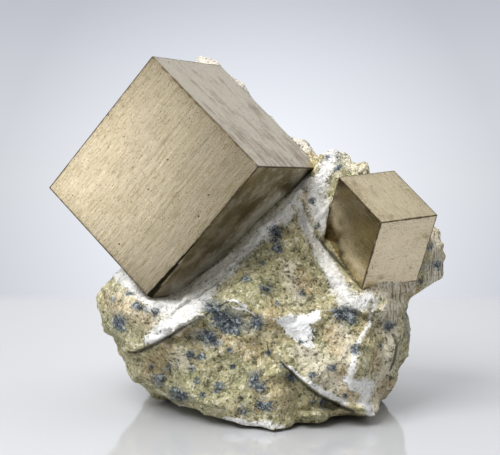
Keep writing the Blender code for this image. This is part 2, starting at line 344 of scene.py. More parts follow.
crystalFinish = {
    "edgeRadius": 0.16,
    "onEdge": 0.35,  # place of the grid line between an edge's ends, in radii
    "stepHeight": 0.009,  # of the growth steps across a face
    "stepWidth": 0.6,
    "stepStretch": 40.0,  # how many times longer than wide a step is
    "stepSeed": 11,
    "waveHeight": 0.014,
    "waveWidth": 9.0,
    "waveSeed": 16,
    "reliefApart": 31.7,  # each side cuts the noise this far from the side before
    "quiet": 0.5,  # relief fades over this distance from an edge
    "sideApart": 97.0,  # the growth map's sides lie this far from each other
    "smearEnds": (1.4, 0.7),  # share of the smears beside the low side and at the far end
    "facetBlend": 0.02,  # depth over which the facet takes its own colour
    "filmWidth": 8.0,  # half width of the film beside the rock, in columns
    "nowhere": -9.0,  # a line's field on the sides that it doesn't touch
}
crystalLooks = ("lines", "smears", "rough", "paintedGreyReflection", "patina", "paintedShade")
# the rock's edge on the large crystal's low side, as the camera sees it: column, row and half width
rockRim = (
    (313, 167, 3.2), (301, 183, 2.2), (282, 201, 1.6), (262, 218, 1.4), (239, 244, 1.4), (215, 267, 1.3),
    (200, 279, 1.3), (181, 292, 1.3), (170, 296, 1.3), (151, 300, 1.5),
)


def crystalMatrix(crystal):
    angles = Euler([math.radians(angle) for angle in crystal["turn"]], "XYZ")
    return np.array(Matrix.LocRotScale(crystal["corner"], angles, None))


def toWorld(crystal, local):
    place = crystalMatrix(crystal)
    return local @ place[:3, :3].T + place[:3, 3]


def distanceToBlock(crystal, points):
    # distance from each point to the block, negative inside it
    place = crystalMatrix(crystal)
    half = np.array(crystal["edges"]) / 2
    over = np.abs((points - place[:3, 3]) @ place[:3, :3] - half) - half
    outside = np.linalg.norm(np.maximum(over, 0.0), axis=1)
    return outside + np.minimum(over.max(axis=1), 0.0)


def gridLine(length, count, radius):
    # count + 1 places along an edge: closely spaced on the rounded ends, even between them
    ends = np.array((0.0, crystalFinish["onEdge"])) * radius
    return np.concatenate((ends, np.linspace(radius, length - radius, count - 3), length - ends[::-1]))


def growthRelief(flat, side):
    # long narrow steps along one direction of a face, on a very low wave
    along, across = flat[:, 0], flat[:, 1]
    cut = np.full(len(flat), crystalFinish["reliefApart"] * side)
    narrow = np.stack((along / crystalFinish["stepStretch"], across, cut), axis=1)
    steps = layeredNoise(narrow, crystalFinish["stepWidth"], crystalFinish["stepSeed"], 2)
    wide = np.stack((along, across, cut), axis=1)
    wave = softNoise(wide, crystalFinish["waveWidth"], crystalFinish["waveSeed"])
    return crystalFinish["stepHeight"] * steps + crystalFinish["waveHeight"] * wave


def makeCrystal(crystal, finish):
    # a rounded block: each point is radius away from the nearest point of a block smaller all round,
    # plus the growth relief along its side's axis, and the facet takes away what lies past a plane
    edges = np.array(crystal["edges"])
    radius = crystalFinish["edgeRadius"]
    lattice, quads, sides = boxGrid(crystal["counts"])
    lines = [gridLine(edges[axis], crystal["counts"][axis], radius) for axis in range(3)]
    local = np.stack([lines[axis][lattice[:, axis]] for axis in range(3)], axis=1)
    inner = np.clip(local, radius, edges - radius)
    outward = local - inner
    rounded = inner + radius * outward / np.linalg.norm(outward, axis=1)[:, None]
    looks = {name: np.zeros(len(local)) for name in crystalLooks}
    for axis, top in itertools.product(range(3), (0, 1)):
        across, up = (axis + 1) % 3, (axis + 2) % 3
        on = lattice[:, axis] == crystal["counts"][axis] * top
        flat = local[:, (across, up)]
        rim = np.minimum(flat, edges[[across, up]] - flat).min(axis=1)
        fade = smoothStep(radius, crystalFinish["quiet"], rim)
        chart = local[:, (0, 1)] if axis == 2 else flat
        relief = growthRelief(chart, 2 * axis + top) * fade * on
        rounded[:, axis] += relief * (1 if top else -1)
        for name in looks:
            looks[name] = np.where(on, crystal[name][2 * axis + top], looks[name])
    # the smears thin out away from the low side, whose painted shade changes towards two of its edges
    part = local / edges
    looks["smears"] *= np.interp(part[:, 1], (0.0, 1.0), crystalFinish["smearEnds"])
    near, far = crystal["paintedShadeEnds"]
    low = lattice[:, 1] == 0
    looks["paintedShade"] += (near * (1.0 - part[:, 0]) ** 2 + far * part[:, 2] ** 2) * low
    facet = np.zeros(len(local))
    if crystal["facet"]:
        start, width, depth = crystal["facet"]
        first = np.array((start, 0.0, 0.0))
        normal = np.cross(
            np.array((edges[0], 0.0, depth)) - first, np.array((edges[0], width, 0.0)) - first
        )
        normal *= -np.sign(normal[1]) / np.linalg.norm(normal)
        past = np.maximum((rounded - first) @ normal, 0.0)
        rounded -= past[:, None] * normal
        facet = smoothStep(0.0, crystalFinish["facetBlend"], past)
    points = toWorld(crystal, rounded)
    made = makeMesh(crystal["name"], points, quads)
    # the pattern's own map, in millimetres: first along the growth lines, then across them
    corners = np.repeat(sides // 2, 4)
    flat = local[quads.ravel()]
    rows = np.arange(len(flat))
    along = flat[rows, np.array((1, 0, 0))[corners]]
    across = flat[rows, np.array((2, 2, 1))[corners]] + crystalFinish["sideApart"] * np.repeat(sides, 4)
    layer = made.data.uv_layers.new(name="growth")
    layer.uv.foreach_set("vector", np.stack((along, across), axis=1).astype(np.float32).ravel())
    setAttribute(made.data, "edgeAway", np.sort(np.minimum(local, edges - local), axis=1)[:, 1])
    setAttribute(made.data, "facet", facet)
    # a painted shadow line follows the rock's edge on the large crystal's low side, and the film stops
    # short of that edge's ends
    touched = low & bool(crystal["facet"])
    filmLine = [(*place[:2], crystalFinish["filmWidth"]) for place in rockRim[2:-2]]
    for name, line in (("rim", rockRim), ("film", filmLine)):
        field = np.where(touched, nearLine(seenAt(points), line), crystalFinish["nowhere"])
        setAttribute(made.data, name, field)
    for name, values in looks.items():
        setAttribute(made.data, name, values)
    made.data.materials.append(finish)
    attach(made, "root")
    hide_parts(crystal["node"])
    print("crystal", crystal["name"], len(quads), "quads")


def pyriteMaterial():
    # pyrite, natural cube faces: pale brass metal, half dull, with fine growth lines, pin-prick pits,
    # bright flecks, brown stains that gather at the edges, olive patina and a pale film by the rock
    made, tree = newMaterial("pyriteGrown")
    chart = addNode(tree, "ShaderNodeUVMap", uv_map="growth")[0]
    place = addNode(tree, "ShaderNodeTexCoord")["Object"]
    side = {
        name: addNode(tree, "ShaderNodeAttribute", attribute_name=name)["Fac"]
        for name in (*crystalLooks, "edgeAway", "facet", "rim", "film")
    }
    # streaks on the side's own map: length along the growth lines, width across them, detail
    streaks = {}
    for name, length, width, detail in (
        ("lines", 3.5, 0.22, 2), ("bands", 40.0, 4.0, 3), ("smears", 9.0, 2.0, 4),
    ):
        scale = (1 / length, 1 / width, 1.0)
        scaled = addNode(tree, "ShaderNodeMapping", {"Vector": chart, "Scale": scale})[0]
        streaks[name] = addNode(
            tree, "ShaderNodeTexNoise", {"Vector": scaled, "Scale": 1.0, "Detail": detail}
        )[0]
    clouds = {
        size: addNode(
            tree, "ShaderNodeTexNoise", {"Vector": place, "Scale": 1 / (size * mm), "Detail": 3}
        )[0]
        for size in (0.45, 1.6, 6.0)
    }
    nearEdge = addNode(
        tree, "ShaderNodeMapRange", {"Value": side["edgeAway"], "From Min": 4.0, "From Max": 0.3}
    )[0]
    pitShare = weightedSum(tree, (nearEdge, 0.6), (clouds[6.0], 0.6), (1.0, 0.05))
    tiny = scatterDots(tree, place, 0.5, 0.11, pitShare)
    wide = scatterDots(tree, place, 2.4, 0.24, 0.16)
    flecks = scatterDots(tree, place, 0.9, 0.15, weightedSum(tree, (nearEdge, 0.3), (1.0, 0.06)))
    lineShare = weightedSum(
        tree, (streaks["lines"], 1.0), (side["lines"], 0.16), (nearEdge, 0.08), (1.0, -0.16)
    )
    smearShare = weightedSum(
        tree, (streaks["smears"], 0.8), (side["smears"], 0.35), (clouds[1.6], 0.3), (clouds[6.0], 0.4)
    )
    patina = weightedSum(tree, (clouds[6.0], 1.0), (clouds[1.6], 0.6), (side["patina"], 0.5))
    faded = weightedSum(tree, (clouds[6.0], -0.8), (clouds[1.6], 0.7), (side["patina"], 0.5))
    edgeStain = weightedSum(tree, (side["edgeAway"], -1.2), (clouds[1.6], 0.8), (1.0, 0.1))
    # a dull pale film beside the rock on the low side, which hides the metal
    film = weightedSum(tree, (side["film"], 1.0), (clouds[1.6], 1.0), (clouds[0.45], 0.6), (1.0, -0.8))
    filmFrom, filmTo = 0.15, 0.75
    colour = paintOver(
        tree, "#DACCB1",
        (clouds[6.0], 0.35, 0.65, 1.0, "#CDBFA2"),
        (streaks["bands"], 0.4, 0.65, 0.3, "#E3D3B0"),
        # painted shade: sides that mirror too much light are darkened
        (side["paintedShade"], 0.0, 1.0, 1.0, "#84764B"),
        # painted reflection of the pale backdrop: pale grey on those sides
        (side["paintedGreyReflection"], 0.0, 1.0, 1.0, "#D2CBBC"),
        (lineShare, 0.54, 0.6, 0.5, "#9C8A64"),
        (lineShare, 0.40, 0.34, 0.3, "#EADDBC"),
        (clouds[0.45], 0.5, 0.7, 0.25, "#A08D66"),
        (clouds[0.45], 0.46, 0.34, 0.12, "#F0E3C4"),
        (smearShare, 0.97, 1.17, 0.65, "#836C4B"),
        (patina, 1.12, 1.36, 0.7, "#7A6D38"),
        (faded, 0.46, 0.6, 0.6, "#E0DACB"),
        (tiny, 0.0, 1.0, 0.8, "#45382A"),
        (wide, 0.0, 1.0, 0.85, "#2E271A"),
        (flecks, 0.0, 1.0, 0.6, "#F8F2DF"),
        (edgeStain, 0.0, 0.3, 0.85, "#433521"),
        (film, filmFrom, filmTo, 0.85, "#F6F1E2"),
        # painted shadow: a dark line where the rock meets the large crystal's low side
        (side["rim"], 0.2, 0.8, 0.8, "#1B1710"),
        (side["facet"], 0.0, 1.0, 0.97, "#15120D"),
    )
    metal = addNode(
        tree, "ShaderNodeMapRange",
        {"Value": film, "From Min": filmFrom, "From Max": filmTo, "To Min": 1.0, "To Max": 0.1},
    )[0]
    worn = addNode(
        tree, "ShaderNodeMapRange", {"Value": side["edgeAway"], "From Min": 0.3, "From Max": 0.1}
    )[0]
    rough = weightedSum(
        tree, (side["rough"], 1.0), (clouds[0.45], 0.12), (smearShare, 0.06), (worn, 0.3), (1.0, -0.12)
    )
    height = weightedSum(
        tree, (lineShare, 1.2), (clouds[0.45], 0.6), (tiny, -2.0), (wide, -2.0), (flecks, 1.5)
    )
    bump = addNode(tree, "ShaderNodeBump", {"Height": height, "Strength": 1.0, "Distance": 0.008 * mm})[0]
    shader = addNode(
        tree, "ShaderNodeBsdfPrincipled",
        {"Base Color": colour, "Metallic": metal, "Roughness": rough, "Normal": bump},
    )[0]
    addNode(tree, "ShaderNodeOutputMaterial", {"Surface": shader})
    print("material", made.name)
    return made


rock = {
    "heart": (-1.0, 5.0, 13.0),  # the surface is star-shaped about this point
    "centre": (2.0, 0.0, 36.0),
    "radii": (44.0, 32.0, 42.0),
    "counts": (164, 84, 146),
    "forward": 0.25,  # how far the grid crowds towards the front
    "farOut": 150.0,
    "wallGap": 0.36,  # what is nearer to a crystal than this is a socket's wall
    "sink": 0.25,  # how far a wall goes into the crystal, and how much more for each ring of points
    "sinkMore": 0.3,
    "sinkRings": 6,
    "smoothings": 2,
    "smoothing": 0.15,  # share by which each smoothing evens out the surface
    "wallSmoothing": 0.5,
    "calmGap": (0.3, 3.0),  # relief grows to its full height between these distances from a crystal
    "calmLeast": 0.15,
    "formGap": (0.3, 2.5),  # so do the ledges and bands
    "front": (5.0, -5.0),  # where they begin and are full, measured away from the camera
    "frontDepth": 12.0,  # the marks end here
    "under": 0.05,  # the underside lies below this height
    "groundFade": 1.5,  # what moves the surface is full from this height up
    "curl": 0.3,  # height of the underside's rim over the floor
    "curlFade": 2.5,
    "curlRings": 5,
    "creamFrom": 60.0,  # the top of the rock is paler above this height
    "creamFade": 4.0,
    "creamCalm": (58.0, 66.0),  # and smoother between these, by the share that follows
    "creamCalmed": 0.85,
    "sharp": 50.0,  # degrees between faces from which an edge shows as sharp
    "swellReach": 18.0,  # rows over which the rind thickens towards the large crystal's low side
    "swellGap": 6.0,  # the thickening stays this near to a crystal
}
# where it has thickened, as the camera sees it: column, row and millimetres
rockSwell = (
    (318, 168, 0.0), (303, 188, 0.8), (284, 206, 1.4), (264, 222, 1.6), (241, 248, 1.7), (218, 270, 1.7),
    (203, 283, 1.7), (183, 296, 1.2), (168, 301, 0.5), (154, 303, 0.0),
)
# chips: size, seed, slope and hollow of the bowls, and their height
rockChips = ((6.5, 21, 0.7, 0.5, 0.55), (2.6, 31, 0.8, 0.5, 0.55), (1.3, 91, 0.9, 0.5, 0.45))
rockGrain = {
    "bowlLevel": 0.12,  # depth of a bowl that is level with the surface, as a share of hollow and size
    "bend": 0.8,  # how far noise of this size bends the ground under the chips
    "bendSize": 4.0,
    "bendSeeds": (61, 71, 81),
    "height": 0.1,  # of the single grains
    "size": 0.9,
    "seed": 41,
    "proudest": 0.7,  # no ridge between chips stands prouder than this
}
rockForms = {
    "ledgeStep": 1.5,  # columns over which a ledge drops
    "ledgeFade": 20.0,  # columns over which the ground below comes forward again
    "lip": 0.15,  # height of the ground above a ledge, as a share of the drop
    "lipFade": 8.0,
    "bandEdge": (0.1, 0.8),
}
# broken edges as the camera sees them: column, row and how far the lower side lies back, in millimetres
rockLedges = (
    ((124, 351, 0.0), (133, 352, 2.8), (150, 346, 3.4), (172, 333, 2.6), (187, 323, 1.7), (203, 315, 1.0),
     (216, 307, 0.6), (228, 300, 0.6), (243, 305, 0.9), (256, 316, 1.0), (263, 319, 0.6), (270, 328, 0.0)),
    ((258, 334, 0.0), (272, 345, 0.6), (284, 364, 1.2), (300, 379, 1.7), (318, 393, 2.0), (340, 404, 2.0),
     (356, 411, 1.6), (370, 420, 0.8)),
    ((388, 376, 0.0), (394, 360, 1.8), (397, 345, 1.8), (393, 330, 0.0)),
)
# raised and sunk bands: height in millimetres, then column, row and half width of each point
rockBands = (
    (1.2, ((299, 203, 2.5), (303, 215, 3), (310, 230, 3.5), (319, 243, 4), (327, 256, 4.5))),
    (0.7, ((381, 303, 2), (372, 322, 3), (362, 340, 3), (354, 360, 4), (352, 380, 6))),
    (-0.5, ((208, 305, 8), (226, 320, 10), (248, 326, 7))),
    (-0.6, ((330, 292, 5), (318, 300, 5))),
    (3.2, ((303, 415, 3), (325, 414, 5), (345, 409, 5), (362, 409, 4))),
)
# places drawn aside to meet the outline: column, row and reach there, and millimetres to the right and up
rockPulls = (
    ((110, 344, 15), (2.0, 0.5)), ((140, 384, 16), (0.9, 0.9)), ((208, 52, 15), (-2.2, -0.5)),
    ((358, 160, 11), (-0.9, -0.9)), ((441, 277, 11), (0.9, 0.0)),
)
markEdges = {
    "waver": 2.2,  # how far a mark's outline strays, in columns, and a crack's
    "crackWaver": 0.6,
    "size": 2.4,
    "seeds": (101, 111),
    "facing": (-0.15, 0.1),  # cosine to the line of sight at which marks begin and are full
}
# what lies where, as the camera sees it: lines of column, row and half width, or single points
rockMarks = {
    "spots": (
        ((277, 231, 6), (275, 238, 5)), ((278, 249, 5),), ((245, 279, 5),), ((266, 289, 6),),
        ((301, 293, 4),), ((276, 304, 3),), ((338, 313, 7), (350, 318, 8)),
        ((211, 308, 7), (219, 318, 10), (232, 325, 9)), ((257, 322, 6),), ((206, 337, 7), (216, 342, 5)),
        ((236, 333, 3),), ((229, 350, 3),), ((199, 357, 5),), ((190, 354, 4),), ((219, 387, 6),),
        ((254, 379, 7), (261, 387, 7)), ((203, 396, 3),), ((243, 411, 5),),
        ((258, 406, 5), (269, 405, 5)), ((292, 377, 5),), ((315, 376, 4),), ((357, 349, 5),),
        ((389, 325, 6),), ((283, 366, 3),), ((324, 402, 5),), ((241, 399, 3),),
        ((136, 306, 4), (144, 309, 4)), ((155, 312, 4),), ((118, 320, 6), (121, 328, 4)),
        ((129, 293, 3),), ((159, 380, 6),), ((174, 392, 6), (182, 398, 6)), ((199, 381, 4),),
        ((192, 370, 3),), ((151, 366, 3),), ((168, 366, 3),), ((232, 368, 3),), ((270, 352, 3),),
        ((302, 343, 3),), ((313, 402, 3),), ((262, 262, 3),), ((332, 368, 4),), ((344, 396, 3),),
        ((380, 345, 3),), ((430, 246, 4),), ((437, 266, 5),), ((112, 300, 3),), ((419, 283, 3),),
        ((327, 158, 3),), ((338, 168, 3),), ((312, 200, 3),), ((318, 226, 3),),
    ),
    "rind": (
        ((309, 178, 2), (296, 194, 4), (280, 213, 6), (262, 231, 6.5), (243, 250, 6.5), (224, 267, 7),
         (207, 282, 8), (193, 294, 8), (178, 301, 8), (162, 306, 7), (151, 305, 5)),
        ((149, 301, 5), (136, 289, 5.5), (123, 275, 6), (115, 265, 5)),
        ((205, 292, 7), (190, 308, 9), (175, 320, 8), (160, 333, 6), (148, 340, 4)),
        ((298, 203, 3), (304, 222, 3.5), (312, 240, 4), (322, 255, 5), (331, 270, 6), (338, 285, 6),
         (347, 297, 6), (362, 303, 6), (369, 298, 4)),
        ((333, 152, 4), (322, 176, 5), (315, 194, 7), (320, 212, 8), (326, 228, 5)),
        ((378, 300, 1), (372, 316, 1), (364, 332, 1.3), (356, 346, 1.5), (352, 362, 2), (350, 380, 3)),
        ((345, 378, 3), (358, 386, 5), (368, 384, 5), (363, 400, 4), (371, 412, 3)),
        ((288, 366, 1), (304, 379, 1.6), (322, 391, 2.2), (344, 403, 2)),
        ((226, 418, 1.8), (255, 425, 1.8), (285, 428, 1.8)), ((292, 212, 3), (286, 222, 4)),
    ),
    "chalk": (
        ((281, 321, 4), (294, 325, 7), (306, 321, 7), (315, 316, 4)), ((298, 332, 7), (307, 335, 7)),
        ((309, 344, 4),), ((229, 299, 0.7), (240, 303, 0.9), (248, 307, 0.9)),
        ((231, 308, 0.6), (241, 308, 0.8), (255, 314, 0.9)),
    ),
    "slate": (
        ((208, 303, 7), (224, 316, 11), (246, 325, 8), (256, 322, 6)), ((420, 266, 4), (446, 268, 5)),
        ((408, 312, 4), (410, 340, 4)), ((372, 292, 3), (370, 311, 3)), ((345, 312, 9),),
        ((196, 334, 6), (214, 344, 7)), ((118, 322, 7),), ((335, 160, 7), (326, 175, 6)),
    ),
    "rust": (
        ((374, 352, 4), (376, 368, 5)), ((172, 334, 6), (198, 328, 6)), ((271, 308, 4), (272, 326, 5)),
        ((300, 182, 3), (310, 198, 4)), ((108, 300, 8), (130, 311, 9), (150, 322, 7)),
        ((405, 288, 5), (420, 292, 4)), ((330, 330, 8), (336, 350, 7)), ((446, 250, 4),),
        ((165, 350, 10), (150, 370, 9)), ((388, 382, 6), (382, 396, 5)), ((225, 340, 9), (250, 350, 9)),
        ((300, 275, 8), (306, 290, 8)), ((330, 160, 5), (322, 180, 6)), ((340, 372, 8), (352, 396, 7)),
        ((432, 236, 5), (438, 262, 5)),
    ),
    "buff": (
        ((304, 352, 10), (330, 374, 13), (350, 394, 8)), ((338, 332, 10), (346, 356, 12)),
        ((384, 312, 9), (392, 340, 9), (384, 372, 9), (380, 404, 8)), ((118, 300, 9), (150, 322, 7)),
        ((180, 360, 10),), ((290, 268, 6), (300, 300, 6)), ((342, 158, 6), (352, 165, 7), (364, 172, 5)),
    ),
    "moss": (
        ((104, 322, 6), (118, 336, 6), (128, 344, 4)), ((341, 279, 4), (346, 291, 5)), ((325, 313, 5),),
        ((270, 262, 14), (262, 285, 16)), ((240, 372, 16), (200, 398, 10)),
    ),
    "fibre": (
        ((368, 292, 6), (385, 291, 8), (410, 286, 6)), ((396, 300, 8), (392, 315, 8)),
        ((433, 238, 6), (439, 260, 7), (430, 282, 6)),
    ),
    # painted shadow: dark lines under the ledges and in the gap along the small crystal's lower edge
    "crackShadows": (
        ((128, 352, 0.9), (135, 353, 1.7), (150, 347, 2.0), (172, 335, 1.5), (187, 325, 1.1),
         (203, 317, 0.7)),
        ((281, 362, 0.8), (300, 381, 1.3), (318, 395, 1.7), (340, 406, 1.8), (354, 412, 1.4)),
        ((393, 334, 0.9), (397, 345, 1.4), (395, 358, 1.4), (390, 371, 0.8)),
        ((317, 236, 1.2), (326, 248, 1.8), (337, 260, 1.8), (348, 272, 1.6), (360, 287, 1.4)),
    ),
}


def rockRays():
    # directions of the surface's points: an even grid on a cube's sides, bulged by the tangent, drawn
    # towards the front, laid on an ellipsoid and seen from the heart
    lattice, quads = boxGrid(rock["counts"])[:2]
    cube = np.tan((2.0 * lattice / np.array(rock["counts"]) - 1.0) * math.pi / 4)
    ball = cube / np.linalg.norm(cube, axis=1)[:, None] - np.array((0.0, rock["forward"], 0.0))
    ball /= np.linalg.norm(ball, axis=1)[:, None]
    ray = np.array(rock["centre"]) + np.array(rock["radii"]) * ball - np.array(rock["heart"])
    return ray / np.linalg.norm(ray, axis=1)[:, None], quads


def outerSurface(rays, quads):
    # where each ray, followed inwards from far out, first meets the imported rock
    far = makeMesh("far", np.array(rock["heart"]) + rock["farOut"] * rays, quads)
    wrap = far.modifiers.new("wrap", "SHRINKWRAP")
    wrap.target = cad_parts["marl_matrix"]
    wrap.wrap_method = "PROJECT"
    wrap.use_negative_direction = True
    wrap.use_positive_direction = False
    bpy.context.view_layer.update()
    graph = bpy.context.evaluated_depsgraph_get()
    mesh = bpy.data.meshes.new_from_object(far.evaluated_get(graph), depsgraph=graph)
    points = readVectors(mesh.vertices, "co", len(mesh.vertices)) / mm
    bpy.data.objects.remove(far)
    bpy.data.meshes.remove(mesh)
    return points


def crystalGap(points):
    return np.minimum(distanceToBlock(largeCrystal, points), distanceToBlock(smallCrystal, points))


def brokenChips(points, size, seed, tilt, hollow):
    # lowest of the nearby cells' tilted bowls: slope . offset + hollow / size * offset^2
    cell = np.floor(points / size).astype(np.int64)
    lowest = np.full(len(points), np.inf)
    for step in itertools.product((-1, 0, 1), repeat=3):
        there = cell + np.array(step)
        offset = points - size * (there + latticeVector(there, seed))
        slope = tilt * (latticeVector(there, seed + 3) - 0.5)
        bowl = np.einsum("ij,ij->i", slope, offset) + hollow / size * np.einsum("ij,ij->i", offset, offset)
        lowest = np.minimum(lowest, bowl)
    return lowest - rockGrain["bowlLevel"] * hollow * size


def rockRelief(points):
    # chips of several sizes on bent ground and single grains, summed, in millimetres
    grain = rockGrain
    bends = [layeredNoise(points, grain["bendSize"], seed, 2) for seed in grain["bendSeeds"]]
    bent = points + grain["bend"] * np.stack(bends, axis=1)
    total = grain["height"] * layeredNoise(points, grain["size"], grain["seed"], 2)
    for size, seed, tilt, hollow, height in rockChips:
        total += height * brokenChips(bent, size, seed, tilt, hollow)
    return np.minimum(total, grain["proudest"])


def formRelief(seen):
    # under each broken edge the surface lies back by its depth, fading downwards; bands swell as a bell
    form = rockForms
    total = np.zeros(len(seen))
    for ledge in rockLedges:
        away, side, depth = besideLine(seen, ledge)
        below = np.where(side > 0, np.exp(-away / form["ledgeFade"]), 0.0)
        above = np.where(side > 0, 0.0, np.exp(-away / form["lipFade"]))
        total += depth * (form["lip"] * above - smoothStep(0.0, form["ledgeStep"], away) * below)
    for height, band in rockBands:
        total += height * smoothStep(*form["bandEdge"], nearLine(seen, band))
    return total


def rimSwell(seen):
    # the rind thickens up to a line and keeps that height beyond it, into the crystal
    away, side, height = besideLine(seen, rockSwell)
    return height * np.where(side < 0, 1.0, smoothStep(rock["swellReach"], 0.0, away))


def makeRock(finish):
    # heart + ray * length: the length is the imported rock's, deeper in the sockets' walls, plus relief
    heart = np.array(rock["heart"])
    rays, quads = rockRays()
    points = outerSurface(rays, quads)
    length = np.linalg.norm(points - heart, axis=1)
    rays = (points - heart) / length[:, None]
    wall = crystalGap(points) < rock["wallGap"]
    under = points[:, 2] < rock["under"]
    rings = ringsInside(wall, quads, rock["sinkRings"])
    length += np.where(wall, rock["sink"] + rock["sinkMore"] * rings, 0.0)
    share = np.where(under, 0.0, np.where(wall, rock["wallSmoothing"], rock["smoothing"]))
    for turn in range(rock["smoothings"]):
        length += share * (neighbourMean(length, quads, len(length)) - length)
    points = heart + rays * length[:, None]
    gap = crystalGap(points)
    seen = seenAt(points)
    front = smoothStep(*rock["front"], points[:, 1])
    calm = rock["calmLeast"] + (1.0 - rock["calmLeast"]) * smoothStep(*rock["calmGap"], gap)
    calm *= 1.0 - rock["creamCalmed"] * smoothStep(*rock["creamCalm"], points[:, 2])
    ground = np.clip(points[:, 2] / rock["groundFade"], 0.0, 1.0)
    outwards = rockRelief(points) * calm + rimSwell(seen) * front * (gap < rock["swellGap"])
    towards = formRelief(seen) * front * smoothStep(*rock["formGap"], gap)
    # forms move along the line of sight, so that they stay where the camera sees them
    move = rays * outwards[:, None] + sightLines(points) * towards[:, None]
    points += move * ground[:, None]
    for (column, row, reach), (right, up) in rockPulls:
        near = smoothStep(reach, 0.0, np.linalg.norm(seenAt(points) - (column, row), axis=1))
        points += (near * ground)[:, None] * np.array((right, 0.0, up))
    # the underside's rim curls up a little from the floor
    points[:, 2] = np.maximum(points[:, 2], 0.0)
    curl = smoothStep(rock["curlRings"], 1.0, ringsInside(under, quads, rock["curlRings"]))
    points[:, 2] += rock["curl"] * curl * np.exp(-points[:, 2] / rock["curlFade"])
    made = makeMesh("marl_rock", points, quads)
    made.data.set_sharp_from_angle(angle=math.radians(rock["sharp"]))
    markRock(made.data)
    made.data.materials.append(finish)
    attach(made, "root")
    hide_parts("marl_matrix")
    print("rock", len(quads), "quads")


def markRock(mesh):
    # one attribute for each kind of mark, on what faces the camera, with edges that waver
    points = readVectors(mesh.vertices, "co", len(mesh.vertices)) / mm
    normals = readVectors(mesh.vertex_normals, "vector", len(mesh.vertices))
    towards = np.einsum("ij,ij->i", normals, sightLines(points))
    facing = smoothStep(*markEdges["facing"], towards) * (points[:, 1] < rock["frontDepth"])
    wavers = [layeredNoise(points, markEdges["size"], seed, 2) for seed in markEdges["seeds"]]
    waver = np.stack(wavers, axis=1)
    seen = seenAt(points)
    for name, lines in rockMarks.items():
        field = np.zeros(len(points))
        bent = seen + markEdges["crackWaver" if name == "crackShadows" else "waver"] * waver
        for line in lines:
            field = np.maximum(field, nearLine(bent, line if len(line) > 1 else line * 2))
        setAttribute(mesh, name, field * facing)
    cream = smoothStep(rock["creamFrom"], rock["creamFrom"] + rock["creamFade"], points[:, 2])
    setAttribute(mesh, "cream", cream)
    setAttribute(mesh, "unseen", 1.0 - facing)


